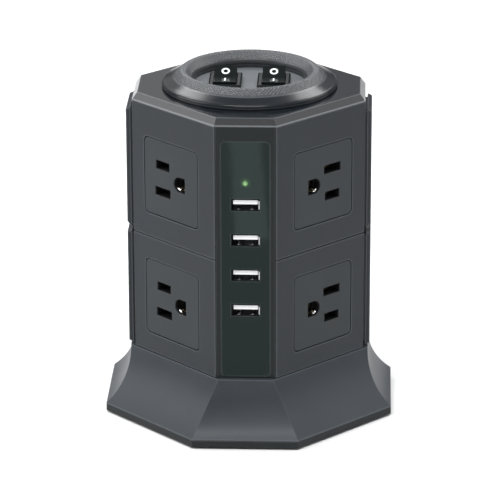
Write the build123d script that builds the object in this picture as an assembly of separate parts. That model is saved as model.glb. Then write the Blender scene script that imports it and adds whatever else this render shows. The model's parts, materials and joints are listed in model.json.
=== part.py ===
from build123d import *
import math
import os

# An eight-outlet power tower, in millimetres. Origin at the centre of the underside, +Z up,
# and the panel with the USB ports faces -Y. Outlet parts are drawn as if they sat on the
# front, x along the face and the distance from the tower's axis outwards along -Y, and are
# then turned on to the four wide faces.

# Tower column: an octagon with narrow faces square to X and Y, wide faces on the diagonals
NARROW_REACH = 53.2
WIDE_REACH = 47.6
WALL = 2.2
COLUMN_Z = 29.8
SEAM_Z = 87.0
CAP_EDGE_Z = 150.1
CAP_TOP_Z = 153.6
CAP_BEVEL = 2.4
SEAM_GAP = 0.7
SEAM_DEPTH = 0.6

# Flared base
RIM_NARROW_REACH = 66.5
RIM_WIDE_REACH = 64.1
RIM_Z = 1.0
RIM_SPLIT_Z = 4.2
RIM_TOP_Z = 4.7
SKIRT_TOP_NARROW = 55.4
SKIRT_TOP_WIDE = 48.0
NARROW_SAGITTA = 3.2
WIDE_SAGITTA = 2.4
DECK_T = 2.2
DECK_HOLE_R = 27.0
PLATE_T = 2.4
PLATE_TOP_Z = RIM_Z + PLATE_T
FOOT_R = 8.0
FOOT_POCKET = 1.2
FOOT_REACH = 36.8
POST_REACH = 26.9
POST_R = 4.0
SCREW_R = 1.55
HEAD_R = 3.0
FIT_GAP = 0.05

# Cord inlet in the back of the base
INLET_Z = 15.8
INLET_FACE_Y = 63.0
INLET_BORE_R = 3.6
INLET_BODY_R = 5.5

# Long screws that clamp the column between base and cap
TIE_PLACES = [(-42.0, 0.0), (42.0, 0.0), (-9.0, 41.0), (9.0, 41.0)]
TIE_LOW_Z = COLUMN_Z - DECK_T
TIE_TOP_Z = 150.0

# Outlets: face plate, slots and the carrier behind it
TIER_Z = {"lower": 57.7, "upper": 116.8}
SIDES = {"front_left": (-45, 0), "front_right": (45, 180), "back_right": (135, 0),
         "back_left": (225, 180)}
FACE_SIZE = 36.2
FACE_X = -1.3
FACE_GAP = 0.3
FACE_T = 3.8
FACE_BACK = WIDE_REACH - FACE_T
SLOT_X = -7.0
SLOT_Z = 6.35
LIVE_SLOT_W = 8.8
NEUTRAL_SLOT_W = 10.1
SLOT_H = 3.95
LEAD_IN = 0.3
GROUND_X = 4.2
GROUND_R = 3.5
GROUND_FLAT_X = 7.9
GROUND_PIN_X = 4.9
FACE_CORNER_R = 2.4
CARRIER_HALF = 17.0
CARRIER_BACK = 25.5

# Contacts and the strips that join them, as distances from the axis
STRIP_T = 0.8
LIVE_REACH = 24.0
GROUND_REACH = 20.0
STRIP_H = 4.0
STRIP_Z = 13.0
CLIP_BACK = 30.0
CLIP_FRONT = 42.0
CLIP_W = 6.8
FEED_TIER = "upper"

# Front panel with the USB ports
FASCIA_HALF = 13.4
FASCIA_T = 2.6
PANEL_HALF = 11.0
PANEL_LOW_Z = 30.9
PANEL_TOP_Z = 143.1
PANEL_T = 1.0
PANEL_CORNER_R = 2.2
USB_Z = [113.4, 96.6, 79.8, 63.0]
USB_W = 13.0
USB_H = 5.6
USB_SHEET = 0.35
USB_BACK_Y = -39.0
BOARD_T = 1.6
LED_Z = 123.8
LED_R = 1.4

# Raised pads on the other narrow faces
PAD_HALF = 12.6
PAD_T = 3.0
PAD_GAP = 0.9
PAD_NECK_INSET = 1.4
PAD_PEG_R = 1.5

# Ring and switches on top
RING_OUTER_R = 40.3
RING_SEAT_R = 34.8
WELL_R = 26.5
COLLAR_TOP = 4.6
COLLAR_FLOOR = 1.5
CROWN_APEX = (30.3, 8.6)
CROWN_RADIUS = 2.0
WELL_EDGE = 4.0
SWITCH_PLATE_Z = 153.6
SWITCH_PLATE_T = 1.4
CAP_HOLE_R = 24.5
SWITCH_X = 11.1
BEZEL_W = 15.0
BEZEL_L = 21.0
BEZEL_T = 2.7
BODY_W = 12.8
BODY_L = 19.2
BODY_LOW_Z = 140.3
CAVITY_HALF_W = 5.5
CAVITY_HALF_L = 8.8
CAVITY_FLOOR_Z = 142.0
ROCKER_HALF_W = 5.2
ROCKER_TILT = 12.5
PIVOT_Z = 154.3
PIVOT_R = 1.2
LEVER_Z = PIVOT_Z - 8.2
LEVER_TILT = -8.0
LEVER_T = 0.6
TERMINAL_LOW_Z = 134.0
TERMINAL_Y = 7.0

# Surge board in the base
SURGE_BOARD_Z = 8.0
SURGE_TOP_Z = SURGE_BOARD_Z + BOARD_T
WIRE_R = 1.1

nodes = {}


def box(x0, x1, y0, y1, z0, z1):
    """Block between two opposite corners."""
    return Pos((x0 + x1) / 2, (y0 + y1) / 2, (z0 + z1) / 2) * Box(x1 - x0, y1 - y0, z1 - z0)


def rod(radius, z0, z1, x=0.0, y=0.0):
    """Upright cylinder."""
    return Pos(x, y, (z0 + z1) / 2) * Cylinder(radius, z1 - z0)


def outward(sketch, near, far):
    """Extrude a sketch drawn on the front, x across and y up, between two reaches."""
    return extrude(Plane.XZ.offset(near) * sketch, far - near)


def octagon(narrow, wide):
    """Octagon outline from the reaches of its narrow and wide sides."""
    half = math.sqrt(2) * wide - narrow
    right = [(narrow, -half), (narrow, half), (half, narrow), (-half, narrow)]
    return make_face(Polyline(*right, *[(-x, -y) for x, y in right], close=True))


def octagon_block(inset, z0, z1):
    """Straight octagonal block of the column, drawn in by `inset`."""
    outline = octagon(NARROW_REACH - inset, WIDE_REACH - inset)
    return Pos(0, 0, z0) * extrude(outline, z1 - z0)


def octagon_tube(inset, wall, z0, z1):
    """Straight octagonal tube inside the column."""
    return octagon_block(inset, z0, z1) - octagon_block(inset + wall, z0 - 1, z1 + 1)


def octagon_from_sides(narrow_side, wide_side):
    """Solid whose narrow and wide sides follow two outlines drawn as (reach, height)."""
    solid = None
    for outline, turns in ((narrow_side, (0, 90)), (wide_side, (45, 135))):
        low, high = outline @ 0, outline @ 1
        closing = [Line((-low.X, low.Y), (low.X, low.Y)), Line((-high.X, high.Y), (high.X, high.Y))]
        profile = make_face([*outline.edges(), *mirror(outline, Plane.YZ).edges(), *closing])
        slab = extrude(Plane.XZ * profile, 2 * RIM_NARROW_REACH, both=True)
        for turn in turns:
            turned = Rot(0, 0, turn) * slab
            solid = turned if solid is None else solid & turned
    return solid


def flare_side(reach_low, reach_high, sagitta, z0, z1, z2):
    """Upright rim from z0 to z1, then a hollow curve in and up to z2."""
    chord = Vector(reach_high - reach_low, z2 - z1)
    inward = Vector(-chord.Y, chord.X).normalized()
    middle = Vector((reach_low + reach_high) / 2, (z1 + z2) / 2) + inward * sagitta
    rim = Line((reach_low, z0), (reach_low, z1))
    return Curve() + [rim, ThreePointArc((reach_low, z1), middle, (reach_high, z2))]


def flared_block(inset, z0, z2):
    """The base's flared shape, drawn in by `inset`."""
    lows, highs = (RIM_NARROW_REACH, RIM_WIDE_REACH), (SKIRT_TOP_NARROW, SKIRT_TOP_WIDE)
    sagittas = (NARROW_SAGITTA, WIDE_SAGITTA)
    narrow, wide = [flare_side(low - inset, high - inset, sagitta, z0, RIM_TOP_Z, z2)
                    for low, high, sagitta in zip(lows, highs, sagittas)]
    return octagon_from_sides(narrow, wide)


def diagonal_places(reach):
    """Four places on the diagonals."""
    return [(x, y) for x in (-reach, reach) for y in (-reach, reach)]


def at_outlet(part, side, tier):
    """Turn a part drawn on the front to one outlet's place."""
    turn, flip = SIDES[side]
    return Pos(0, 0, TIER_Z[tier]) * Rot(0, 0, turn) * Rot(0, flip, 0) * part


# ---- Base ----

def base_skirt():
    skirt = flared_block(0, RIM_SPLIT_Z, COLUMN_Z)
    skirt -= flared_block(WALL, RIM_Z - 1, COLUMN_Z - DECK_T)
    pad = box(-10, 10, INLET_FACE_Y - 14, INLET_FACE_Y, RIM_TOP_Z, INLET_Z + 9)
    hollow = box(-8, 8, INLET_FACE_Y - 15, INLET_FACE_Y - 3.5, RIM_TOP_Z - 1, INLET_Z + 6.8)
    skirt = skirt + pad - hollow
    skirt -= Pos(0, INLET_FACE_Y, INLET_Z) * Rot(90, 0, 0) * Cylinder(INLET_BODY_R + FIT_GAP, 12)
    for x, y in diagonal_places(POST_REACH):
        skirt += rod(POST_R, PLATE_TOP_Z, COLUMN_Z - DECK_T, x, y)
    skirt -= rod(DECK_HOLE_R, COLUMN_Z - DECK_T - 1, COLUMN_Z + 1)
    for x, y in diagonal_places(POST_REACH):
        skirt -= rod(SCREW_R, PLATE_TOP_Z, PLATE_TOP_Z + 13, x, y)
    for x, y in TIE_PLACES:
        skirt -= rod(SCREW_R + 0.3, COLUMN_Z - DECK_T - 1, COLUMN_Z + 1, x, y)
    return skirt


def rim_block(inset, z0, z1):
    """Straight octagonal block under the skirt, drawn in by `inset`."""
    outline = octagon(RIM_NARROW_REACH - inset, RIM_WIDE_REACH - inset)
    return Pos(0, 0, z0) * extrude(outline, z1 - z0)


def base_plate():
    """Bottom tray whose edge is the rim under the skirt."""
    plate = chamfer(rim_block(0, RIM_Z, RIM_SPLIT_Z).edges().group_by(Axis.Z)[-1], 0.3)
    plate -= rim_block(WALL, PLATE_TOP_Z, RIM_SPLIT_Z + 1)
    for x, y in ((-17, -36), (17, -36), (-17, 26), (17, 26)):
        plate += rod(2.8, PLATE_TOP_Z, SURGE_BOARD_Z, x, y)
    for x, y in diagonal_places(FOOT_REACH):
        plate -= rod(FOOT_R, RIM_Z - 1, RIM_Z + FOOT_POCKET, x, y)
    for x, y in diagonal_places(POST_REACH):
        plate -= rod(HEAD_R + 0.2, RIM_Z - 1, RIM_Z + 1.5, x, y)
        plate -= rod(SCREW_R + 0.25, RIM_Z, PLATE_TOP_Z + 1, x, y)
    return plate


def foot(x, y):
    pad = rod(FOOT_R, 0, RIM_Z + FOOT_POCKET, x, y)
    return chamfer(pad.edges().group_by(Axis.Z)[0], 0.4)


def screw(x, y, head_low_z, head_h, head_r, tip_z):
    """Pan-head screw, head down, with a cross recess."""
    turned = rod(head_r, head_low_z, head_low_z + head_h, x, y)
    turned = chamfer(turned.edges().group_by(Axis.Z)[0], head_h / 3)
    turned += rod(SCREW_R - FIT_GAP, head_low_z + head_h, tip_z, x, y)
    for length, width in ((2.6, 0.6), (0.6, 2.6)):
        turned -= Pos(x, y, head_low_z) * Box(length, width, 1.4)
    return turned


def base_screws():
    places = diagonal_places(POST_REACH)
    return [screw(x, y, RIM_Z + 0.1, 1.4, HEAD_R, PLATE_TOP_Z + 11) for x, y in places]


def tie_screws():
    return [screw(x, y, TIE_LOW_Z - 2.6, 2.6, 3.4, TIE_TOP_Z) for x, y in TIE_PLACES]


def along_y(radius, y0, y1):
    """Cylinder along Y at the cord inlet's height."""
    return Pos(0, (y0 + y1) / 2, INLET_Z) * Rot(90, 0, 0) * Cylinder(radius, y1 - y0)


def cord_gland():
    gland = along_y(INLET_BODY_R, INLET_FACE_Y - 11, INLET_FACE_Y + 3)
    gland += along_y(INLET_BODY_R + 1.5, INLET_FACE_Y, INLET_FACE_Y + 1.6)
    gland += along_y(INLET_BODY_R + 1.1, INLET_FACE_Y - 5.3, INLET_FACE_Y - 3.5)
    return gland - along_y(INLET_BORE_R, INLET_FACE_Y - 12, INLET_FACE_Y + 4)


# ---- Column shells ----

def shell(tier, z0, z1):
    """One tier's octagonal tube, open at the front for the panel, with four outlet windows."""
    tube = octagon_tube(0, WALL, z0, z1)
    tube -= box(-FASCIA_HALF - 0.2, FASCIA_HALF + 0.2, -60, -WIDE_REACH, z0 - 1, z1 + 1)
    side = FACE_SIZE + 2 * FACE_GAP
    window = Pos(FACE_X, 0) * RectangleRounded(side, side, FACE_CORNER_R + FACE_GAP)
    for name in SIDES:
        tube -= at_outlet(outward(window, FACE_BACK - 4, WIDE_REACH + 2), name, tier)
    for x, y in TIE_PLACES:
        reach = math.hypot(x, y)
        turn = math.degrees(math.atan2(y, x))
        lug = Rot(0, 0, turn) * box(reach - 5, NARROW_REACH, -5, 5, z0, z0 + 3)
        tube += lug & octagon_block(WALL / 2, z0, z0 + 3)
        tube -= rod(SCREW_R + 0.3, z0 - 1, z0 + 4, x, y)
    for turn in (-90, 90, 180):
        for height in pad_peg_heights(tier):
            tube -= Rot(0, 0, turn) * Pos(0, 0, height) * outward(Circle(PAD_PEG_R + 0.1), 48, 56)
    for z in (COLUMN_Z, SEAM_Z):
        tube -= octagon_tube(-1, 1 + SEAM_DEPTH, z - SEAM_GAP / 2, z + SEAM_GAP / 2)
    return tube


def lower_shell():
    lip = octagon_tube(WALL, 1.4, SEAM_Z - 4, SEAM_Z) + octagon_tube(WALL + 0.2, 1.2, SEAM_Z, SEAM_Z + 2.4)
    lip -= box(-16, 16, -60, -40, SEAM_Z - 5, SEAM_Z + 5)
    for x, y in TIE_PLACES:
        turn = math.degrees(math.atan2(y, x))
        reach = math.hypot(x, y)
        lip -= Rot(0, 0, turn) * box(reach - 6, NARROW_REACH + 2, -5.4, 5.4, SEAM_Z, SEAM_Z + 5)
    return shell("lower", COLUMN_Z, SEAM_Z) + lip


def upper_shell():
    return shell("upper", SEAM_Z, CAP_EDGE_Z)


# ---- Outlets ----

def ground_outline():
    """Round towards the slots and flat on the other side."""
    flat_w = GROUND_FLAT_X - GROUND_X
    square = Pos(GROUND_X + flat_w / 2, 0) * Rectangle(flat_w, 2 * GROUND_R)
    beyond_flat = Pos(GROUND_FLAT_X + 5, 0) * Rectangle(10, 10)
    return Pos(GROUND_X, 0) * Circle(GROUND_R) + square - beyond_flat


def outlet_face():
    outline = Pos(FACE_X, 0) * RectangleRounded(FACE_SIZE, FACE_SIZE, FACE_CORNER_R)
    flange = Pos(FACE_X, 0) * RectangleRounded(FACE_SIZE + 2.6, FACE_SIZE + 2.6, FACE_CORNER_R)
    plate = outward(outline, FACE_BACK, WIDE_REACH)
    plate += outward(flange, FACE_BACK, WIDE_REACH - WALL - 0.2)
    for height, width in ((SLOT_Z, LIVE_SLOT_W), (-SLOT_Z, NEUTRAL_SLOT_W)):
        plate -= outward(Pos(SLOT_X, height) * Rectangle(width, SLOT_H), 40, 50)
    plate -= outward(ground_outline(), 40, 50)
    front = plate.faces().sort_by(Axis.Y)[0]
    return chamfer(front.edges(), LEAD_IN)


def contact_carrier(tier):
    """Moulded frame behind the four faces of a tier, with a pocket for each contact."""
    block = Pos(FACE_X, 0) * Rectangle(2 * CARRIER_HALF, 2 * CARRIER_HALF)
    one = outward(block, CARRIER_BACK, FACE_BACK)
    for height in (SLOT_Z, -SLOT_Z):
        one -= outward(Pos(SLOT_X, height) * Rectangle(10.4, 5.0), CARRIER_BACK + 1.5, FACE_BACK + 1)
        one -= outward(Pos(SLOT_X, height) * Rectangle(8.4, 1.6), CARRIER_BACK - 1, CARRIER_BACK + 2)
    one -= outward(Pos(GROUND_PIN_X, 0) * Circle(4.2), CARRIER_BACK + 1.5, FACE_BACK + 1)
    one -= outward(Pos(GROUND_PIN_X, 0) * Rectangle(4.6, 1.6), CARRIER_BACK - 1, CARRIER_BACK + 2)
    low = TIER_Z[tier] - CARRIER_HALF
    frame = Rot(0, 0, 45) * (box(-30, 30, -30, 30, low, low + 1.4) - box(-21, 21, -21, 21, low - 1, low + 3))
    frame &= box(-36, 36, -36, 36, low - 1, low + 3)
    for name in SIDES:
        frame += at_outlet(one, name, tier)
    for x, y in TIE_PLACES:
        reach = math.hypot(x, y)
        frame += Rot(0, 0, math.degrees(math.atan2(y, x))) * box(30, reach + 4, -4, 4, low, low + 1.4)
        frame -= rod(SCREW_R + 0.3, low - 1, low + 3, x, y)
    return frame


def strip_ring(reach, z):
    """Square ring of upright brass strip, one side behind each wide face."""
    outer = reach + STRIP_T
    ring = box(-outer, outer, -outer, outer, z - STRIP_H / 2, z + STRIP_H / 2)
    return Rot(0, 0, 45) * (ring - box(-reach, reach, -reach, reach, z - STRIP_H, z + STRIP_H))


def blade_clip(height):
    """Two leaves on a back plate, which grip a flat blade."""
    clip = outward(Pos(SLOT_X, height) * Rectangle(CLIP_W, 2.9), CLIP_BACK, CLIP_BACK + STRIP_T)
    for leaf in (-1.15, 1.15):
        clip += outward(Pos(SLOT_X, height + leaf) * Rectangle(CLIP_W, 0.6), CLIP_BACK, CLIP_FRONT)
    return clip


def blade_contacts(tier, clip_z, ring_z, tail_x):
    """The four clips of one pole in a tier, each with its tail and riser to the ring."""
    contacts = strip_ring(LIVE_REACH, TIER_Z[tier] + ring_z)
    for name, (_, flip) in SIDES.items():
        ring_side = -ring_z if flip else ring_z
        one = blade_clip(clip_z)
        one += outward(Pos(tail_x, clip_z) * Rectangle(2, STRIP_T), LIVE_REACH, CLIP_BACK + 0.4)
        middle = (clip_z + ring_side) / 2
        rise = abs(ring_side - clip_z) + STRIP_T
        one += outward(Pos(tail_x, middle) * Rectangle(2, rise), LIVE_REACH, LIVE_REACH + STRIP_T)
        contacts += at_outlet(one, name, tier)
    return contacts


def feed_tab(z):
    """Tab from the ring's front corner to the back of the USB board."""
    corner = math.sqrt(2) * LIVE_REACH
    return box(-1, 1, USB_BACK_Y + BOARD_T, -corner, z - 1, z + 1)


def live_contacts(tier):
    contacts = blade_contacts(tier, SLOT_Z, STRIP_Z, SLOT_X - 2)
    return contacts + feed_tab(TIER_Z[tier] + STRIP_Z) if tier == FEED_TIER else contacts


def neutral_contacts(tier):
    contacts = blade_contacts(tier, -SLOT_Z, -STRIP_Z, SLOT_X + 2)
    return contacts + feed_tab(TIER_Z[tier] - STRIP_Z) if tier == FEED_TIER else contacts


def ground_contacts(tier):
    """Four split tubes for the round pins, on their own ring."""
    centre = Pos(GROUND_PIN_X, 0)
    one = outward(centre * (Circle(3.1) - Circle(2.5)), CLIP_BACK + 1, CLIP_FRONT)
    one += outward(centre * Circle(3.1), CLIP_BACK + 0.4, CLIP_BACK + 1.2)
    one -= outward(Pos(GROUND_PIN_X + 2.8, 0) * Rectangle(3, 0.8), CLIP_BACK + 2, CLIP_FRONT + 1)
    one += outward(centre * Rectangle(4, STRIP_T), GROUND_REACH, CLIP_BACK + 1)
    contacts = strip_ring(GROUND_REACH, TIER_Z[tier])
    for name in SIDES:
        contacts += at_outlet(one, name, tier)
    return contacts


# ---- Front panel ----

def front_fascia():
    """Strip over both tiers, with a shallow seat for the glossy panel and ribs for the board."""
    front = -NARROW_REACH
    strip = box(-FASCIA_HALF, FASCIA_HALF, front, front + FASCIA_T, COLUMN_Z + 0.1, CAP_EDGE_Z - 0.1)
    seat_z = (PANEL_LOW_Z + PANEL_TOP_Z) / 2
    seat = RectangleRounded(2 * PANEL_HALF + 0.3, PANEL_TOP_Z - PANEL_LOW_Z + 0.3, PANEL_CORNER_R + 0.1)
    strip -= outward(Pos(0, seat_z) * seat, NARROW_REACH - PANEL_T - 0.1, NARROW_REACH + 1)
    board_back = USB_BACK_Y + BOARD_T
    for side in (-1, 1):
        x0, x1 = sorted((side * 11.8, side * 13.0))
        strip += box(x0, x1, front + FASCIA_T - 0.2, board_back + 0.6, 48, 134)
        groove0, groove1 = sorted((side * 11.7, side * 12.3))
        strip -= box(groove0, groove1, USB_BACK_Y - 0.05, board_back + 0.05, 51, 131.5)
    for z in USB_Z:
        strip -= outward(Pos(0, z) * Rectangle(USB_W + 0.4, USB_H + 0.4), 48, 55)
    return strip - outward(Pos(0, LED_Z) * Circle(LED_R + 0.1), 48, 55)


def usb_panel():
    height = PANEL_TOP_Z - PANEL_LOW_Z
    outline = Pos(0, PANEL_LOW_Z + height / 2) * RectangleRounded(2 * PANEL_HALF, height, PANEL_CORNER_R)
    for z in USB_Z:
        outline -= Pos(0, z) * Rectangle(USB_W + 0.3, USB_H + 0.3)
    outline -= Pos(0, LED_Z) * Circle(LED_R + 0.1)
    return outward(outline, NARROW_REACH - PANEL_T - 0.1, NARROW_REACH - 0.1)


def usb_shell(z):
    """Folded metal shell of one receptacle, open at the front."""
    outer = Pos(0, z) * RectangleRounded(USB_W, USB_H, 0.5)
    inner = Pos(0, z) * Rectangle(USB_W - 2 * USB_SHEET, USB_H - 2 * USB_SHEET)
    tube = outward(outer, -USB_BACK_Y, NARROW_REACH)
    return tube - outward(inner, -USB_BACK_Y + USB_SHEET, NARROW_REACH + 1)


def usb_tongues():
    """White insulators that carry the receptacles' contacts."""
    tongues = []
    for z in USB_Z:
        back = -USB_BACK_Y + USB_SHEET
        block = outward(Pos(0, z) * Rectangle(USB_W - 0.8, USB_H - 0.8), back, back + 2)
        tongues.append(block + outward(Pos(0, z + 1.1) * Rectangle(11.0, 1.9), back, NARROW_REACH - 0.9))
    return tongues


def usb_board():
    return box(-12.2, 12.2, USB_BACK_Y, USB_BACK_Y + BOARD_T, 52, 131)


def transformer():
    """Wound block behind the USB board, between the two contact carriers."""
    back = USB_BACK_Y + BOARD_T
    core = box(-9, 9, back, back + 3, 79, 95) + box(-7, 7, back, back + 13, 81, 93)
    winding = Pos(0, back + 7.5, 87) * Rot(90, 0, 0) * Cylinder(8.2, 7)
    return core + winding


def led_lens():
    """Light pipe from the board, with a domed end."""
    pipe = outward(Pos(0, LED_Z) * Circle(LED_R), -USB_BACK_Y, NARROW_REACH)
    dome = Pos(0, -NARROW_REACH, LED_Z) * Sphere(LED_R)
    return pipe + dome


# ---- Side pads ----

def pad_peg_heights(tier):
    return (40.0, 76.0) if tier == "lower" else (100.0, 136.0)


def side_pad(tier, turn):
    """Raised pad with sloped ends, which stands off the wall on a neck and two snap pegs."""
    back, face = NARROW_REACH + PAD_GAP, NARROW_REACH + PAD_T
    if tier == "upper":
        points = [(back, 88.0), (face, 91.0), (face, 145.0), (back, 146.0)]
    else:
        points = [(back, 31.0), (face, 32.0), (face, 86.0), (back, 86.4)]
    profile = make_face(Polyline(*points, close=True))
    pad = Rot(0, 0, 180) * extrude(Plane.YZ * profile, PAD_HALF, both=True)
    low, high = points[0][1] + PAD_NECK_INSET, points[-1][1] - PAD_NECK_INSET
    neck = Rectangle(2 * (PAD_HALF - PAD_NECK_INSET), high - low)
    pad += outward(Pos(0, (low + high) / 2) * neck, NARROW_REACH, back + 0.5)
    for height in pad_peg_heights(tier):
        pad += outward(Pos(0, height) * Circle(PAD_PEG_R), NARROW_REACH - WALL - 0.8, NARROW_REACH + 1)
    return Rot(0, 0, turn) * pad


# ---- Cap, ring and switches ----

def top_cap():
    narrow = Line((NARROW_REACH, CAP_EDGE_Z), (NARROW_REACH - CAP_BEVEL, CAP_TOP_Z))
    wide = Line((WIDE_REACH, CAP_EDGE_Z), (WIDE_REACH - CAP_BEVEL, CAP_TOP_Z))
    cap = octagon_from_sides(narrow, wide)
    cap -= octagon_block(5.0, CAP_EDGE_Z - 1, CAP_TOP_Z - 2.4)
    lip = octagon_tube(WALL + 0.2, 1.4, CAP_EDGE_Z - 3.5, CAP_EDGE_Z + 1)
    lip += octagon_tube(WALL + 0.2, 3.0, CAP_EDGE_Z, CAP_TOP_Z - 2.4)
    cap += lip - box(-16, 16, -60, -40, CAP_EDGE_Z - 4, CAP_EDGE_Z)
    for x, y in TIE_PLACES:
        cap += rod(3.6, CAP_EDGE_Z - 12, CAP_TOP_Z - 2, x, y)
        cap -= rod(SCREW_R, CAP_EDGE_Z - 13, TIE_TOP_Z + 1, x, y)
    cap -= rod(CAP_HOLE_R, CAP_EDGE_Z - 5, CAP_TOP_Z + 1)
    cap -= rod(WELL_R + 0.1, SWITCH_PLATE_Z - SWITCH_PLATE_T, CAP_TOP_Z + 1)
    for x, y in peg_places():
        cap -= rod(1.3, CAP_TOP_Z - 1.6, CAP_TOP_Z + 1, x, y)
    return cap


def peg_places():
    """Pegs of the collar, at the four diagonals."""
    reach = 33.0 / math.sqrt(2)
    return diagonal_places(reach)


def turned_ring(outline):
    """Ring from a closed outline drawn as (radius, height above the cap)."""
    return Pos(0, 0, CAP_TOP_Z) * revolve(Plane.XZ * make_face(outline), Axis.Z)


def collar_ring():
    """Smooth sloping collar with a channel on its inside for the textured ring."""
    sloped = Line((RING_SEAT_R, COLLAR_TOP), (39.0, 2.6))
    edge = RadiusArc((39.0, 2.6), (RING_OUTER_R, 1.4), 1.6)
    rest = Polyline((RING_OUTER_R, 1.4), (RING_OUTER_R, 0.5), (39.7, 0.5), (39.7, 0), (WELL_R, 0),
                    (WELL_R, COLLAR_FLOOR), (RING_SEAT_R, COLLAR_FLOOR), (RING_SEAT_R, COLLAR_TOP))
    collar = turned_ring([sloped, edge, *rest.edges()])
    for x, y in peg_places():
        collar += rod(1.2, CAP_TOP_Z - 1.5, CAP_TOP_Z + 0.5, x, y)
    return collar


def grip_ring():
    """Ring around the switch well, sloped both ways from a rounded crest."""
    outer = RING_SEAT_R - 0.1
    crown = FilletPolyline((outer, COLLAR_TOP - 0.1), CROWN_APEX, (WELL_R, WELL_EDGE), radius=CROWN_RADIUS)
    rest = Polyline((WELL_R, WELL_EDGE), (WELL_R, COLLAR_FLOOR), (outer, COLLAR_FLOOR),
                    (outer, COLLAR_TOP - 0.1))
    return turned_ring([*crown.edges(), *rest.edges()])


def switch_plate():
    plate = rod(WELL_R - 0.1, SWITCH_PLATE_Z - SWITCH_PLATE_T, SWITCH_PLATE_Z)
    for x in (-SWITCH_X, SWITCH_X):
        plate -= Pos(x, 0, SWITCH_PLATE_Z) * Box(BODY_W + 0.2, BODY_L + 0.2, 3 * SWITCH_PLATE_T)
    return plate


def switch_body(x):
    """Snap-in rocker switch body with its bezel, open at the top."""
    low, high = SWITCH_PLATE_Z, SWITCH_PLATE_Z + BEZEL_T
    bezel = box(-BEZEL_W / 2, BEZEL_W / 2, -BEZEL_L / 2, BEZEL_L / 2, low, high)
    bezel = chamfer(bezel.edges().group_by(Axis.Z)[-1], 0.7)
    body = bezel + box(-BODY_W / 2, BODY_W / 2, -BODY_L / 2, BODY_L / 2, BODY_LOW_Z, low)
    body -= box(-CAVITY_HALF_W, CAVITY_HALF_W, -CAVITY_HALF_L, CAVITY_HALF_L, CAVITY_FLOOR_Z, PIVOT_Z + 5)
    body -= Pos(0, 0, PIVOT_Z) * Rot(0, 90, 0) * Cylinder(PIVOT_R + FIT_GAP, 12.4)
    for y in (0, TERMINAL_Y):
        body -= box(-2.4, 2.4, y - 0.4, y + 0.4, BODY_LOW_Z - 1, CAVITY_FLOOR_Z + 1)
    return Pos(x, 0, 0) * body


def rocker(x):
    """Rocker with a shallow V on top, stub pivots at its sides, tilted to its ON place."""
    half = [(0, 2.7), (7.63, 4.74), (8.3, 1.5), (7.4, -2.5), (3.0, -4.0)]
    outline = half + [(-y, z) for y, z in reversed(half[1:])]
    profile = make_face(Polyline(*outline, close=True))
    lever = extrude(Plane.YZ * profile, ROCKER_HALF_W, both=True)
    lever += Rot(0, 90, 0) * Cylinder(PIVOT_R, 2 * (CAVITY_HALF_W + 0.5))
    lever += rod(1.5, -6.7, -3.5)
    return Pos(x, 0, PIVOT_Z) * Rot(ROCKER_TILT, 0, 0) * lever


def switch_lever(x):
    """Moving contact strip that tips on the middle terminal."""
    strip = Box(3.4, 15.0, LEVER_T)
    for end in (-6.4, 6.4):
        strip += Pos(0, end, -0.5) * Cylinder(1.2, 0.6)
    return Pos(x, 0, LEVER_Z) * Rot(LEVER_TILT, 0, 0) * strip


def switch_terminals():
    """A middle and an end blade for each switch."""
    blades = []
    tip_drop = 6.4 * math.sin(math.radians(-LEVER_TILT)) + 1.15
    for x in (-SWITCH_X, SWITCH_X):
        middle = box(-2.35, 2.35, -0.4, 0.4, TERMINAL_LOW_Z, LEVER_Z - LEVER_T / 2 - 0.15)
        end = box(-2.35, 2.35, TERMINAL_Y - 0.4, TERMINAL_Y + 0.4, TERMINAL_LOW_Z, LEVER_Z - tip_drop - 0.6)
        end += box(-1.5, 1.5, 5.0, TERMINAL_Y, LEVER_Z - tip_drop - 1.0, LEVER_Z - tip_drop - 0.3)
        blades += [Pos(x, 0, 0) * middle, Pos(x, 0, 0) * end]
    return blades


# ---- Surge board and wiring ----

def power_board():
    return box(-21, 21, -42, 30, SURGE_BOARD_Z, SURGE_TOP_Z)


def surge_varistors():
    """Three disc varistors standing on the board."""
    discs = []
    for x in (-15.0, -4.0, 7.0):
        disc = Pos(x, 22, SURGE_TOP_Z + 5.0) * Rot(90, 0, 0) * Cylinder(4.6, 3.6)
        discs.append(disc + box(x - 3, x + 3, 21, 23, SURGE_TOP_Z, SURGE_TOP_Z + 2))
    return discs


def capacitors():
    """Two round capacitors and a box-shaped one."""
    cans = [rod(4.5, SURGE_TOP_Z, SURGE_TOP_Z + 13, x, -34) for x in (-14.0, -3.0)]
    return cans + [box(5, 19, -38, -30, SURGE_TOP_Z, SURGE_TOP_Z + 11)]


def wire(points, radii):
    """Insulated wire along straight runs joined by arcs."""
    route = FilletPolyline(*points, radius=radii)
    section = Plane(origin=route @ 0, z_dir=route % 0) * Circle(WIRE_R)
    return sweep(section, path=route)


def to_ring(x, y, dx, dy, reach):
    """Point where a wire that leaves (x, y) along a diagonal meets a ring's inner side."""
    run = (reach - (x * dx + y * dy) / math.sqrt(2)) / math.sqrt(2)
    return x + run * dx, y + run * dy


def live_wires():
    wires = []
    for side in (-1, 1):
        x = side * SWITCH_X
        points = [(side * 8, 4, SURGE_TOP_Z), (side * 8, 4, 45), (x, 0, 80), (x, 0, TERMINAL_LOW_Z)]
        wires.append(wire(points, [70, 70]))
    for side, tier, radius in ((-1, "upper", 3.4), (1, "lower", 6)):
        x = side * SWITCH_X
        z = TIER_Z[tier] + STRIP_Z
        end = to_ring(x, TERMINAL_Y, side, 1, LIVE_REACH)
        wires.append(wire([(x, TERMINAL_Y, TERMINAL_LOW_Z), (x, TERMINAL_Y, z), (*end, z)], [radius]))
    return wires


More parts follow.
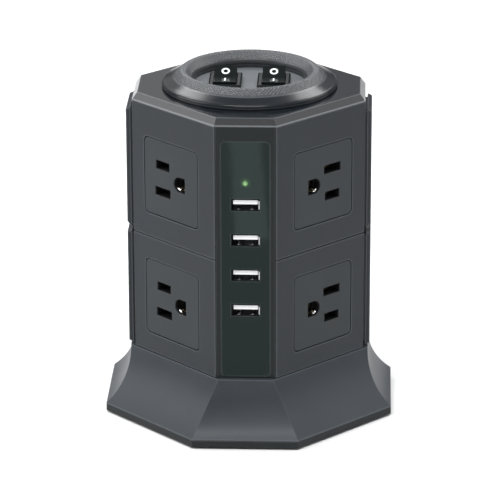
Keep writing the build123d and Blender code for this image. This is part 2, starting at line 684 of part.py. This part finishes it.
def neutral_wires():
    wires = []
    for x, y, tier in ((0, 10, "upper"), (4, 6, "lower")):
        z = TIER_Z[tier] - STRIP_Z
        end = to_ring(x, y, 1, 1, LIVE_REACH)
        wires.append(wire([(x, y, SURGE_TOP_Z), (x, y, z), (*end, z)], [8]))
    return wires


def ground_wires():
    wires = []
    for x, y, side, tier in ((0, -10, 1, "upper"), (-4, -6, -1, "lower")):
        z = TIER_Z[tier]
        end = to_ring(x, y, side, -1, GROUND_REACH)
        wires.append(wire([(x, y, SURGE_TOP_Z), (x, y, z), (*end, z)], [7]))
    return wires


# ---- All nodes ----

nodes["base_skirt"] = base_skirt()
nodes["base_plate"] = base_plate()
nodes["base_screws"] = base_screws()
for x, y in diagonal_places(FOOT_REACH):
    place = f"{'front' if y < 0 else 'back'}_{'left' if x < 0 else 'right'}"
    nodes[f"foot_{place}"] = foot(x, y)
nodes["cord_gland"] = cord_gland()
nodes["tie_screws"] = tie_screws()
nodes["lower_shell"] = lower_shell()
nodes["upper_shell"] = upper_shell()
one_face = outlet_face()
for tier in TIER_Z:
    for side in SIDES:
        nodes[f"outlet_face_{tier}_{side}"] = at_outlet(one_face, side, tier)
    nodes[f"contact_carrier_{tier}"] = contact_carrier(tier)
    nodes[f"live_contacts_{tier}"] = live_contacts(tier)
    nodes[f"neutral_contacts_{tier}"] = neutral_contacts(tier)
    nodes[f"ground_contacts_{tier}"] = ground_contacts(tier)
    for side, turn in (("left", -90), ("right", 90), ("back", 180)):
        nodes[f"side_pad_{tier}_{side}"] = side_pad(tier, turn)
nodes["front_fascia"] = front_fascia()
nodes["usb_panel"] = usb_panel()
nodes["usb_board"] = usb_board()
nodes["transformer"] = transformer()
nodes["led_lens"] = led_lens()
for number, z in enumerate(USB_Z, start=1):
    nodes[f"usb_shell_{number}"] = usb_shell(z)
nodes["usb_tongues"] = usb_tongues()
nodes["top_cap"] = top_cap()
nodes["collar_ring"] = collar_ring()
nodes["grip_ring"] = grip_ring()
nodes["switch_plate"] = switch_plate()
for side, x in (("left", -SWITCH_X), ("right", SWITCH_X)):
    nodes[f"switch_body_{side}"] = switch_body(x)
    nodes[f"rocker_{side}"] = rocker(x)
    nodes[f"switch_lever_{side}"] = switch_lever(x)
nodes["switch_terminals"] = switch_terminals()
nodes["power_board"] = power_board()
nodes["surge_varistors"] = surge_varistors()
nodes["capacitors"] = capacitors()
nodes["live_wires"] = live_wires()
nodes["neutral_wires"] = neutral_wires()
nodes["ground_wires"] = ground_wires()

os.makedirs("parts", exist_ok=True)
for name, shape in nodes.items():
    solids = shape if isinstance(shape, list) else [shape]
    export_step(Compound(children=[solid for item in solids for solid in item.solids()]),
                f"parts/{name}.step")
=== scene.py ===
import json
import math

import bmesh
import bpy
from mathutils import Matrix, Vector


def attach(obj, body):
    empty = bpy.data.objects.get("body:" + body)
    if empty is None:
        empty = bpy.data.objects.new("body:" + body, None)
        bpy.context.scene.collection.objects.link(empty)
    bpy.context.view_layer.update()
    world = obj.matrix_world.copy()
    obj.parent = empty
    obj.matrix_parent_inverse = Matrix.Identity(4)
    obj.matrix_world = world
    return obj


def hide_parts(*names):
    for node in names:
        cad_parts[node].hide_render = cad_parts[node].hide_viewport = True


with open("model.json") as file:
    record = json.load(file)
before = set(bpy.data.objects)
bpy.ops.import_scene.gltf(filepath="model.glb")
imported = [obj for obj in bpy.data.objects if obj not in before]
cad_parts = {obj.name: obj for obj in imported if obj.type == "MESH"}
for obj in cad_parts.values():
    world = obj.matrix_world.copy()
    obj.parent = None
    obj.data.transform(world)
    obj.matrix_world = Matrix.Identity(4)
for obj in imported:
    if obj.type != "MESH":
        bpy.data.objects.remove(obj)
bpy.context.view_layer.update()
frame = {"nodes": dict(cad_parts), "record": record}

MM = 0.001

# The photograph's view: a long lens a little to the right of the front, looking down
CAMERA_AT = Vector((53.9, -1403.8, 585.1)) * MM
CAMERA_YAW = math.radians(-2.2)
CAMERA_PITCH = math.radians(-20.04)
CAMERA_ROLL = math.radians(-0.15)
CAMERA_LENS = 230.4

# The lie of some CAD features in millimetres, for the small pieces and the changes of finish
CAP_TOP_Z = 153.6
RING_OUTER = Vector((34.7, 4.5))    # radius and height above the cap
RING_APEX = Vector((30.3, 8.6))
RING_INNER = Vector((26.5, 4.0))
RING_FOOT_Z = 1.5
RING_CREST_RADIUS = 2.0
WIDE_REACH = 47.6                   # from the axis to the four wide faces
FRONT_Y = -53.2                     # the front panel's face
TIER_Z = {"lower": 57.7, "upper": 116.8}
SIDES = {"front_left": (-45, 0), "front_right": (45, 180), "back_right": (135, 0),
         "back_left": (225, 180)}   # turn about the axis, and of the outlet in its face
GROUND_X = 4.2
LED_AT = (0, FRONT_Y, 123.8)
USB_Z = (113.4, 96.6, 79.8, 63.0)
USB_INNER_LOW = 2.45
USB_EDGE_X = 6.34                   # inside of a port's right wall
SWITCH_X = 11.1
PIVOT_Z = 154.3
ROCKER_TILT = 12.5                  # degrees, from level to where the rocker rests
ROCKER_V_Z = 2.7
ROCKER_SLOPE = (4.74 - ROCKER_V_Z) / 7.63
MARK_LOW, MARK_HIGH = -0.12, 0.1    # the marks' foot and top, off the rocker's surface
MARK_EASE = 0.06

# Colours and settings that several finishes share
# Painted highlight: the pale colour that outward edges are painted towards
EDGE_HIGHLIGHT_COLOUR = (0.32, 0.34, 0.36, 1.0)
# Painted shade: the black of the slots' insides
SLOT_SHADE_BLACK = (0.0012, 0.0014, 0.0016)
FINE_GRAIN_MM = 0.004
SKY_COLOUR = (0.95, 0.97, 1.0, 1.0)
SKY_LOW, SKY_HIGH = (0.1, 0.1), (0.36, 0.42)    # height of a direction, and strength there


# ---- Materials ----

def noise_texture(nodes, links, coordinates, scale, detail=2.0, rough=0.5):
    texture = nodes.new("ShaderNodeTexNoise")
    texture.inputs["Scale"].default_value = scale
    texture.inputs["Detail"].default_value = detail
    texture.inputs["Roughness"].default_value = rough
    links.new(coordinates.outputs["Object"], texture.inputs["Vector"])
    return texture


def varied_colour(nodes, links, texture, colour, variation):
    """Two close shades of one colour, mixed by a slow noise."""
    ramp = nodes.new("ShaderNodeValToRGB")
    ramp.color_ramp.elements[0].position = 0.35
    ramp.color_ramp.elements[1].position = 0.65
    for element, factor in zip(ramp.color_ramp.elements, (1 - variation, 1 + variation)):
        element.color = (*[min(1.0, channel * factor) for channel in colour], 1.0)
    links.new(texture.outputs["Fac"], ramp.inputs["Fac"])
    return ramp.outputs["Color"]


def vector_math(nodes, links, operation, vector, other=None):
    node = nodes.new("ShaderNodeVectorMath")
    node.operation = operation
    links.new(vector, node.inputs[0])
    if other is not None:
        node.inputs[1].default_value = other
    return node


def map_range(nodes, links, value, low, high, to_low, to_high):
    node = nodes.new("ShaderNodeMapRange")
    for name, number in (("From Min", low), ("From Max", high), ("To Min", to_low),
                         ("To Max", to_high)):
        node.inputs[name].default_value = number
    links.new(value, node.inputs["Value"])
    return node.outputs["Result"]


def near_mask(nodes, links, coordinates, centre, keep, near_mm, far_mm):
    """1 within near_mm of a point, 0 beyond far_mm, measured along the axes in keep."""
    moved = vector_math(nodes, links, "SUBTRACT", coordinates.outputs["Object"],
                        Vector(centre) * MM)
    kept = vector_math(nodes, links, "MULTIPLY", moved.outputs["Vector"], keep)
    length = vector_math(nodes, links, "LENGTH", kept.outputs["Vector"])
    return map_range(nodes, links, length.outputs["Value"], near_mm * MM, far_mm * MM, 1, 0)


def shaded_recess_mask(nodes, links, coordinates, shallow_mm, deep_mm):
    """1 deeper than deep_mm behind the four wide faces, where the slots' insides get painted
    shade.
    """
    folded = vector_math(nodes, links, "ABSOLUTE", coordinates.outputs["Object"])
    half = math.sqrt(0.5)
    reach = vector_math(nodes, links, "DOT_PRODUCT", folded.outputs["Vector"], (half, half, 0))
    return map_range(nodes, links, reach.outputs["Value"], (WIDE_REACH - deep_mm) * MM,
                     (WIDE_REACH - shallow_mm) * MM, 1, 0)


def mixed(nodes, links, kind, mask, socket, other):
    """Socket's value (or black) where the mask is 0, other where it is 1."""
    mix = nodes.new("ShaderNodeMix")
    mix.data_type = kind
    names = {"RGBA": (6, 7, 2), "FLOAT": (2, 3, 0)}[kind]
    links.new(mask, mix.inputs[0])
    if socket is None:
        mix.inputs[names[0]].default_value = (0, 0, 0, 1)
    else:
        links.new(socket, mix.inputs[names[0]])
    mix.inputs[names[1]].default_value = other
    return mix.outputs[names[2]]


def edge_highlight_mask(nodes, links, width_mm, strength):
    """Painted highlight: up to strength along outward edges, where light would catch them."""
    inside = nodes.new("ShaderNodeAmbientOcclusion")
    inside.inside = True
    inside.only_local = True
    inside.samples = 6
    inside.inputs["Distance"].default_value = width_mm * MM
    return map_range(nodes, links, inside.outputs["AO"], 0.98, 0.7, 0, strength)


def material(name, colour, roughness, grain_mm=0.5, grain_depth_mm=0.02, variation=0.08,
             patch_mm=30.0, edge_highlight=0.0, edge_highlight_mm=0.7, specular=0.5, tint=(1, 1, 1), metallic=0.0,
             zone=None, zone_colour=None, zone_roughness=None, glow=None):
    """Moulded or formed surface: slow colour and gloss changes over a fine moulded grain.

    Its edge settings say how much paler its outward edges are painted, a painted highlight, and
    over what width. zone is a mask function and its arguments; inside it the surface has another
    finish, which in the slots is painted shade. glow is a mask with the colour of the light that
    comes through there, given as emission; on the panel this is a painted glow."""
    made = bpy.data.materials.new(name)
    made.use_nodes = True
    nodes, links = made.node_tree.nodes, made.node_tree.links
    shader = nodes["Principled BSDF"]
    coordinates = nodes.new("ShaderNodeTexCoord")
    slow = noise_texture(nodes, links, coordinates, 1 / (patch_mm * MM), 3.0)
    shade = varied_colour(nodes, links, slow, colour, variation)
    gloss = map_range(nodes, links, slow.outputs["Fac"], 0.3, 0.7, roughness * 0.92,
                      roughness * 1.08)
    # Painted highlight along outward edges
    if edge_highlight:
        edges = edge_highlight_mask(nodes, links, edge_highlight_mm, edge_highlight)
        shade = mixed(nodes, links, "RGBA", edges, shade, EDGE_HIGHLIGHT_COLOUR)
    # In the slots the zone paints shade
    if zone:
        mask = zone[0](nodes, links, coordinates, *zone[1:])
        shade = mixed(nodes, links, "RGBA", mask, shade, (*zone_colour, 1.0))
        gloss = mixed(nodes, links, "FLOAT", mask, gloss, zone_roughness)
    # Emission: the light's own glow, and on the panel a painted glow
    if glow:
        light = glow[0](nodes, links, coordinates, *glow[1:-1])
        links.new(mixed(nodes, links, "RGBA", light, None, (*glow[-1], 1.0)),
                  shader.inputs["Emission Color"])
        shader.inputs["Emission Strength"].default_value = 1.0
    links.new(shade, shader.inputs["Base Color"])
    links.new(gloss, shader.inputs["Roughness"])
    grain = noise_texture(nodes, links, coordinates, 1 / (grain_mm * MM), 2.0)
    bump = nodes.new("ShaderNodeBump")
    bump.inputs["Strength"].default_value = 1.0
    bump.inputs["Distance"].default_value = grain_depth_mm * MM
    links.new(grain.outputs["Fac"], bump.inputs["Height"])
    links.new(bump.outputs["Normal"], shader.inputs["Normal"])
    shader.inputs["Specular IOR Level"].default_value = specular
    shader.inputs["Specular Tint"].default_value = (*tint, 1.0)
    shader.inputs["Metallic"].default_value = metallic
    return made


# Masks: painted shade in the slots' insides, the ring's inner wall, a port's front rim, and the
# light's glow, which on the panel is a painted glow
# Painted shade: black inside the slots, from 0.1 mm behind the face and fully from 0.5 mm
SLOT_SHADE = (shaded_recess_mask, 0.1, 0.5)
RING_WALL = (near_mask, (0, 0, 0), (1, 1, 0), RING_INNER.x + 0.1, RING_INNER.x + 0.4)
PORT_RIM = (near_mask, (0, FRONT_Y, 0), (0, 1, 0), 0.12, 0.2)
# Painted glow: dim green emission on the smoked panel around the light
PAINTED_LED_GLOW = (near_mask, LED_AT, (1, 0, 1), 1.0, 2.8, (0.012, 0.045, 0.010))
LED_CORE = (near_mask, LED_AT, (1, 0, 1), 0.2, 1.4, (0.24, 0.48, 0.17))
METAL = {"grain_depth_mm": FINE_GRAIN_MM, "metallic": 1.0}
# Colour, roughness, and whatever else the finish sets
# The edge settings paint outward edges paler as a painted highlight; on the knurl, its ridge tops
FINISHES = {
    "shell_plastic": ((0.0145, 0.018, 0.0222), 0.34, {"edge_highlight": 0.13, "specular": 0.27}),
    "cap_plastic": ((0.0065, 0.0085, 0.011), 0.09, {"edge_highlight": 0.3, "specular": 0.38}),
    # Painted shade: black deep inside the slots
    "face_plastic": ((0.021, 0.0255, 0.0285), 0.36, {
        "zone": SLOT_SHADE, "zone_colour": SLOT_SHADE_BLACK, "zone_roughness": 0.7, "specular": 0.27}),
    "fascia_plastic": ((0.0048, 0.0072, 0.0074), 0.3, {
        "edge_highlight": 0.1, "edge_highlight_mm": 0.35, "specular": 0.24}),
    # Painted glow: green emission on the panel around the light
    "gloss_panel": ((0.0018, 0.0048, 0.0042), 0.045, {
        "grain_mm": 8.0, "grain_depth_mm": 0.01, "edge_highlight": 0.16, "edge_highlight_mm": 0.3,
        "glow": PAINTED_LED_GLOW, "specular": 0.24, "tint": (0.78, 1.0, 0.94)}),
    "ring_plastic": ((0.012, 0.014, 0.0165), 0.18, {"edge_highlight": 0.15, "specular": 0.2}),
    # Painted highlight: the knurl's ridge tops are painted much paler
    "grip_texture": ((0.026, 0.028, 0.031), 0.2, {
        "edge_highlight": 0.6, "edge_highlight_mm": 0.6, "grain_mm": 0.3, "grain_depth_mm": 0.02, "variation": 0.1,
        "patch_mm": 6.0, "zone": RING_WALL, "zone_colour": (0.045, 0.048, 0.052),
        "zone_roughness": 0.35, "specular": 0.45}),
    "plate_plastic": ((0.13, 0.14, 0.15), 0.42, {}),
    "switch_plastic": ((0.006, 0.008, 0.008), 0.14, {"grain_depth_mm": 0.006, "specular": 0.27}),
    "rocker_plastic": ((0.004, 0.006, 0.006), 0.17, {"specular": 0.24}),
    "skirt_plastic": ((0.036, 0.0415, 0.048), 0.36, {"edge_highlight": 0.13, "specular": 0.16}),
    "foot_rubber": ((0.02, 0.02, 0.02), 0.8, {}),
    "rim_plastic": ((0.009, 0.0115, 0.013), 0.4, {"specular": 0.27}),
    "steel": ((0.62, 0.62, 0.63), 0.25, METAL),
    "bright_steel": ((0.93, 0.93, 0.92), 0.22, METAL),
    "port_steel": ((0.13, 0.13, 0.135), 0.3, {
        "zone": PORT_RIM, "zone_colour": (0.016, 0.018, 0.019), "zone_roughness": 0.4, **METAL}),
    "spring_steel": ((0.1, 0.1, 0.105), 0.35, METAL),
    "brass": ((0.78, 0.62, 0.34), 0.28, METAL),
    "carrier_plastic": ((0.012, 0.012, 0.013), 0.6, {}),
    "tongue_white": ((0.88, 0.89, 0.89), 0.4, {"variation": 0.03}),
    "board_green": ((0.02, 0.16, 0.08), 0.4, {}),
    "component_dark": ((0.05, 0.05, 0.06), 0.5, {}),
    "varistor_blue": ((0.05, 0.12, 0.35), 0.35, {}),
    "wire_black": ((0.02, 0.02, 0.02), 0.45, {}),
    "wire_white": ((0.8, 0.8, 0.8), 0.45, {}),
    "wire_green": ((0.05, 0.35, 0.12), 0.45, {}),
    "mark_white": ((0.9, 0.92, 0.92), 0.45, {"variation": 0.02}),
    "led_green": ((0.05, 0.10, 0.045), 0.25, {"glow": LED_CORE}),
}
MATERIALS = {name: material(name, colour, roughness, **rest)
             for name, (colour, roughness, rest) in FINISHES.items()}


def paint(obj, name):
    obj.data.materials.clear()
    obj.data.materials.append(MATERIALS[name])


# ---- CAD nodes: materials and rounded edges ----

WELD_MM = 0.002
SHARP_DEGREES = 28


def round_edges(obj, width_mm):
    """Joins the mesh's split edges and rounds its sharp ones."""
    weld = obj.modifiers.new("weld", "WELD")
    weld.merge_threshold = WELD_MM * MM
    bevel = obj.modifiers.new("edges", "BEVEL")
    bevel.width = width_mm * MM
    bevel.segments = 3
    bevel.limit_method = "ANGLE"
    bevel.angle_limit = math.radians(SHARP_DEGREES)
    bevel.use_clamp_overlap = True
    even = obj.modifiers.new("normals", "WEIGHTED_NORMAL")
    even.weight = 100


record_slots = {row["node"]: row["material_slot"] for row in frame["record"]["subparts"]}
# Nodes that look different from the rest of their slot
OTHER_FINISHES = {"front_fascia": "fascia_plastic", "base_plate": "rim_plastic",
                  "top_cap": "cap_plastic", "base_skirt": "skirt_plastic"}
OTHER_FINISHES.update({f"usb_shell_{number}": "port_steel" for number in (1, 2, 3, 4)})
EDGE_MM = {"lower_shell": 0.35, "upper_shell": 0.35, "top_cap": 0.45, "base_skirt": 0.4,
           "base_plate": 0.3, "front_fascia": 0.35, "usb_panel": 0.4, "switch_body_left": 0.25,
           "switch_body_right": 0.25, "rocker_left": 0.35, "rocker_right": 0.35}
PAD_EDGE_MM = 0.5
for node, obj in frame["nodes"].items():
    paint(obj, OTHER_FINISHES.get(node, record_slots[node]))
    if node.startswith("side_pad"):
        round_edges(obj, PAD_EDGE_MM)
    elif node in EDGE_MM:
        round_edges(obj, EDGE_MM[node])


# ---- Small pieces ----

def add_piece(name, body, finish, make):
    """Piece made by filling a bmesh, in millimetres, on one body."""
    work = bmesh.new()
    make(work)
    bmesh.ops.recalc_face_normals(work, faces=work.faces)
    bmesh.ops.scale(work, vec=(MM, MM, MM), verts=work.verts)
    mesh = bpy.data.meshes.new(name)
    work.to_mesh(mesh)
    work.free()
    mesh.shade_smooth()
    obj = bpy.data.objects.new(name, mesh)
    bpy.context.scene.collection.objects.link(obj)
    paint(obj, finish)
    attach(obj, body)
    return obj


def loft(work, loops, closed=False):
    """Skin over loops of the same length; ends are capped unless the loft closes on itself."""
    rows = [[work.verts.new(point) for point in loop] for loop in loops]
    count = len(rows[0])
    pairs = list(zip(rows, rows[1:])) + ([(rows[-1], rows[0])] if closed else [])
    for low, high in pairs:
        for i in range(count):
            j = (i + 1) % count
            work.faces.new((low[i], low[j], high[j], high[i]))
    if not closed:
        work.faces.new(rows[0])
        work.faces.new(rows[-1])


def crown_profile(step):
    """The textured ring's top as (radius, height above the cap), with its crest rounded."""
    to_outer = (RING_OUTER - RING_APEX).normalized()
    to_inner = (RING_INNER - RING_APEX).normalized()
    half = to_outer.angle(to_inner) / 2
    reach = RING_CREST_RADIUS / math.tan(half)
    centre = RING_APEX + (to_outer + to_inner).normalized() * RING_CREST_RADIUS / math.sin(half)
    start = RING_APEX + to_outer * reach - centre
    end = RING_APEX + to_inner * reach - centre
    turn = math.pi - 2 * half
    slopes = []
    for a, b in ((RING_OUTER, centre + start), (centre + end, RING_INNER)):
        steps = max(2, round((b - a).length / step))
        slopes.append([a.lerp(b, i / steps) for i in range(steps + 1)])
    arc_steps = max(4, round(RING_CREST_RADIUS * turn / step))
    arc = []
    for i in range(1, arc_steps):
        angle = math.atan2(start.y, start.x) + turn * i / arc_steps
        arc.append(centre + Vector((math.cos(angle), math.sin(angle))) * RING_CREST_RADIUS)
    return slopes[0] + arc + slopes[1]


def knurled_ring(work):
    """The ring around the switches, its crown cut with a fine diamond knurl."""
    step, count = 0.22, 900             # between points across the crown, and points around
    pitch, depth = 1.6, 0.3
    sharpness = 0.6                     # below 1, the cuts are narrow and the diamonds broad
    plain_border = 0.8                  # the cuts fade out over this much at both edges
    crown = crown_profile(step)
    closing = [Vector((RING_INNER.x, RING_FOOT_Z)), Vector((RING_OUTER.x, RING_FOOT_Z))]
    core = Vector((RING_APEX.x, 2.0))   # a point inside the section
    runs = [0.0]
    for a, b in zip(crown, crown[1:]):
        runs.append(runs[-1] + (b - a).length)
    cells = round(2 * math.pi * RING_APEX.x / pitch / 2) * 2
    loops = []
    for i in range(count):
        turn = 2 * math.pi * i / count
        loop = []
        for k, (point, run) in enumerate(zip(crown, runs)):
            edge = min(1.0, run / plain_border, (runs[-1] - run) / plain_border)
            across = math.pi * run / pitch
            around = cells * turn / 2
            ridge = abs(math.sin(around + across) * math.sin(around - across)) ** sharpness
            before, after = crown[max(0, k - 1)], crown[min(len(crown) - 1, k + 1)]
            tangent = (after - before).normalized()
            inward = Vector((-tangent.y, tangent.x))
            if inward.dot(core - point) < 0:
                inward = -inward
            loop.append(point + inward * depth * (1 - ridge) * edge)
        loops.append([(p.x * math.cos(turn), p.x * math.sin(turn), CAP_TOP_Z + p.y)
                      for p in loop + closing])
    loft(work, loops, closed=True)


def on_rocker(side, x, y, lift):
    """Point on a rocker's top, x and y from its middle, lifted off the surface."""
    tilt = math.radians(ROCKER_TILT)
    z = ROCKER_V_Z + abs(y) * ROCKER_SLOPE
    slope = math.atan(ROCKER_SLOPE) * (1 if y > 0 else -1)
    y, z = y - math.sin(slope) * lift, z + math.cos(slope) * lift
    return (side * SWITCH_X + x, y * math.cos(tilt) - z * math.sin(tilt),
            PIVOT_Z + y * math.sin(tilt) + z * math.cos(tilt))


def rocker_marks(side):
    """The off ring on the far half and the on bar on the near half, as moulded marks."""
    ring_y, ring_in, ring_out, ring_count = 4.05, 1.05, 1.9, 40
    bar_y, bar_half_width, bar_half_length, bar_count = -3.3, 0.36, 1.9, 24
    shoulder = MARK_HIGH - 0.04

    def make(work):
        section = ((ring_in, MARK_LOW), (ring_in, shoulder), (ring_in + 0.07, MARK_HIGH),
                   (ring_out - 0.07, MARK_HIGH), (ring_out, shoulder), (ring_out, MARK_LOW))
        loops = [[on_rocker(side, radius * math.cos(turn), ring_y + radius * math.sin(turn), lift)
                  for radius, lift in section]
                 for turn in (2 * math.pi * i / ring_count for i in range(ring_count))]
        loft(work, loops, closed=True)
        bar = []
        for ease, lift in ((0, MARK_LOW), (0, shoulder), (MARK_EASE, MARK_HIGH)):
            loop = []
            for i in range(bar_count):
                turn = 2 * math.pi * i / bar_count
                x = (bar_half_width - ease) * math.cos(turn)
                y = (bar_half_width - ease) * math.sin(turn)
                end = bar_half_length if y > 0 else -bar_half_length
                loop.append(on_rocker(side, x, bar_y + y + end, lift))
            bar.append(loop)
        loft(work, bar)
    return make


def at_outlet(side, tier, x, z, reach):
    """Point of an outlet drawn on the front, turned on to its wide face."""
    turn, flip = (math.radians(angle) for angle in SIDES[side])
    x, z = x * math.cos(flip) + z * math.sin(flip), z * math.cos(flip) - x * math.sin(flip)
    return (x * math.cos(turn) + reach * math.sin(turn),
            x * math.sin(turn) - reach * math.cos(turn), TIER_Z[tier] + z)


def ground_leaves(work):
    """Curled spring leaf at the lower side of each ground hole."""
    # Section as (radius from the hole's axis, depth below the face)
    outer = [(3.3, 6.0), (3.3, 1.9), (3.22, 1.3), (2.98, 0.9), (2.6, 0.75), (2.25, 0.95),
             (2.1, 1.3)]
    inner = [(2.35, 1.45), (2.48, 1.2), (2.66, 1.1), (2.86, 1.25), (2.97, 1.6), (3.02, 2.0),
             (3.02, 6.0)]
    half_steps, step_degrees = 4, 5.5
    for tier in TIER_Z:
        for side, (_, flip) in SIDES.items():
            middle = 113 if flip else -111
            loops = []
            for i in range(-half_steps, half_steps + 1):
                angle = math.radians(middle + i * step_degrees)
                shrink = 1 - 0.03 * abs(i) ** 1.5 / 8
                loops.append([at_outlet(side, tier, GROUND_X + radius * math.cos(angle),
                                        radius * math.sin(angle), WIDE_REACH - depth / shrink)
                              for radius, depth in outer + inner])
            loft(work, loops)


def port_springs(work):
    """Two arched spring leaves on the floor of each USB port."""
    front_y, length, height, thick, steps = -52.6, 5.4, 0.75, 0.2, 12
    for z in USB_Z:
        floor = z - USB_INNER_LOW
        for x in (-3.1, 3.1):
            loops = []
            for i in range(steps + 1):
                along = i / steps
                y = front_y + length * along
                low = floor + height * math.sin(math.pi * along) ** 0.8
                half = 0.95 - 0.25 * along
                loops.append([(x - half, y, low), (x + half, y, low),
                              (x + half, y, low + thick), (x - half, y, low + thick)])
            loft(work, loops)


def port_side_springs(work):
    """Curled edge of the spring leaf at the right of each USB port."""
    curl = [(5.86, -51.4), (5.8, -52.4), (5.84, -52.95), (5.96, -53.2), (6.15, -53.27),
            (USB_EDGE_X, -53.22), (6.3, -53.12), (6.14, -53.16), (6.04, -53.06), (5.96, -52.82),
            (5.94, -52.4), (6.0, -51.4)]
    # Height from the port's middle, and how wide the curl is there
    levels = ((-2.15, 0.5), (-2.0, 0.9), (-1.7, 1.0), (1.5, 1.0), (1.8, 0.9), (1.95, 0.5))
    for z in USB_Z:
        loft(work, [[(USB_EDGE_X - (USB_EDGE_X - x) * width, y + (1 - width) * 0.2, z + rise)
                     for x, y in curl] for rise, width in levels])


ring = add_piece("knurled_ring", "tower", "grip_texture", knurled_ring)
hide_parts("grip_ring")
for name, side in (("left", -1), ("right", 1)):
    add_piece(f"rocker_marks_{name}", f"rocker_{name}", "mark_white",
              rocker_marks(side))
add_piece("ground_leaves", "tower", "bright_steel", ground_leaves)
add_piece("port_springs", "tower", "spring_steel", port_springs)
add_piece("port_side_springs", "tower", "steel", port_side_springs)


# ---- Camera, light and floor ----

def place_camera():
    forward = Vector((math.sin(CAMERA_YAW) * math.cos(CAMERA_PITCH),
                      math.cos(CAMERA_YAW) * math.cos(CAMERA_PITCH), math.sin(CAMERA_PITCH)))
    level = Vector((math.cos(CAMERA_YAW), -math.sin(CAMERA_YAW), 0))
    upright = level.cross(forward)
    right = level * math.cos(CAMERA_ROLL) + upright * math.sin(CAMERA_ROLL)
    up = upright * math.cos(CAMERA_ROLL) - level * math.sin(CAMERA_ROLL)
    data = bpy.data.cameras.new("camera")
    data.lens = CAMERA_LENS
    data.sensor_width = 36.0
    data.clip_end = 50.0
    camera = bpy.data.objects.new("camera", data)
    camera.matrix_world = Matrix((
        (right.x, up.x, -forward.x, CAMERA_AT.x), (right.y, up.y, -forward.y, CAMERA_AT.y),
        (right.z, up.z, -forward.z, CAMERA_AT.z), (0, 0, 0, 1)))
    bpy.context.scene.collection.objects.link(camera)
    bpy.context.scene.camera = camera


def area_light(name, at, size, radiance):
    """Soft box that faces the middle of the tower; radiance as seen in a mirror."""
    data = bpy.data.lights.new(name, "AREA")
    data.shape = "RECTANGLE"
    data.size, data.size_y = size
    data.energy = radiance * math.pi * size[0] * size[1]
    light = bpy.data.objects.new(name, data)
    light.location = at
    light.rotation_euler = (Vector((0, 0, 0.08)) - Vector(at)).to_track_quat("-Z", "Y").to_euler()
    light.visible_camera = False
    bpy.context.scene.collection.objects.link(light)
    return light


def panel_strips():
    """Narrow strips low in front, which the glossy panel mirrors as a slanted, fading band.

    They lie over each other from one near end, so the band fades in steps."""
    near_x, near_y, height, width, radiance = -0.0185, -0.5, 0.004, 0.018, 1.1
    slant = math.radians(-3.6)
    for number, length in enumerate((0.19, 0.15, 0.11, 0.07)):
        middle = (near_x + 0.062 * (length / 2), near_y + length / 2, height)
        strip = area_light(f"strip_{number}", middle, (width, length), radiance)
        strip.rotation_euler = (math.pi, 0, slant)


def light_scene():
    """Large soft boxes on all sides, and a sky that is darker near the horizon."""
    panel_strips()
    area_light("left", (-2.16, -0.16, 1.38), (1.92, 1.75), 3.7)
    area_light("right", (2.24, 0.56, 1.36), (1.92, 1.8), 2.0)
    area_light("back", (-1.1, 2.4, 1.3), (2.4, 1.5), 0.27)
    area_light("front", (0.16, -2.08, 1.76), (1.92, 1.44), 1.35)
    area_light("top", (-0.1, -0.84, 1.62), (1.2, 0.34), 17.0)
    area_light("rim_left", (-0.6, 0.9, 1.2), (0.5, 0.5), 9.0)
    area_light("rim_right", (0.6, 0.9, 1.2), (0.5, 0.5), 9.0)
    world = bpy.data.worlds.new("studio")
    world.use_nodes = True
    background = world.node_tree.nodes["Background"]
    background.inputs["Color"].default_value = SKY_COLOUR
    nodes, links = world.node_tree.nodes, world.node_tree.links
    height = nodes.new("ShaderNodeSeparateXYZ")
    links.new(nodes.new("ShaderNodeTexCoord").outputs["Generated"], height.inputs[0])
    links.new(map_range(nodes, links, height.outputs["Z"], SKY_LOW[0], SKY_HIGH[0], SKY_LOW[1],
                        SKY_HIGH[1]), background.inputs["Strength"])
    bpy.context.scene.world = world
    bpy.context.scene.view_settings.view_transform = "Standard"


def lay_floor():
    half = 15.0
    mesh = bpy.data.meshes.new("floor")
    mesh.from_pydata([(-half, -half, 0), (half, -half, 0), (half, half, 0), (-half, half, 0)],
                     [], [(0, 1, 2, 3)])
    floor = bpy.data.objects.new("floor", mesh)
    bpy.context.scene.collection.objects.link(floor)
    mesh.materials.append(material("floor_paper", (0.8, 0.8, 0.8), 0.85, variation=0.01))


place_camera()
light_scene()
lay_floor()
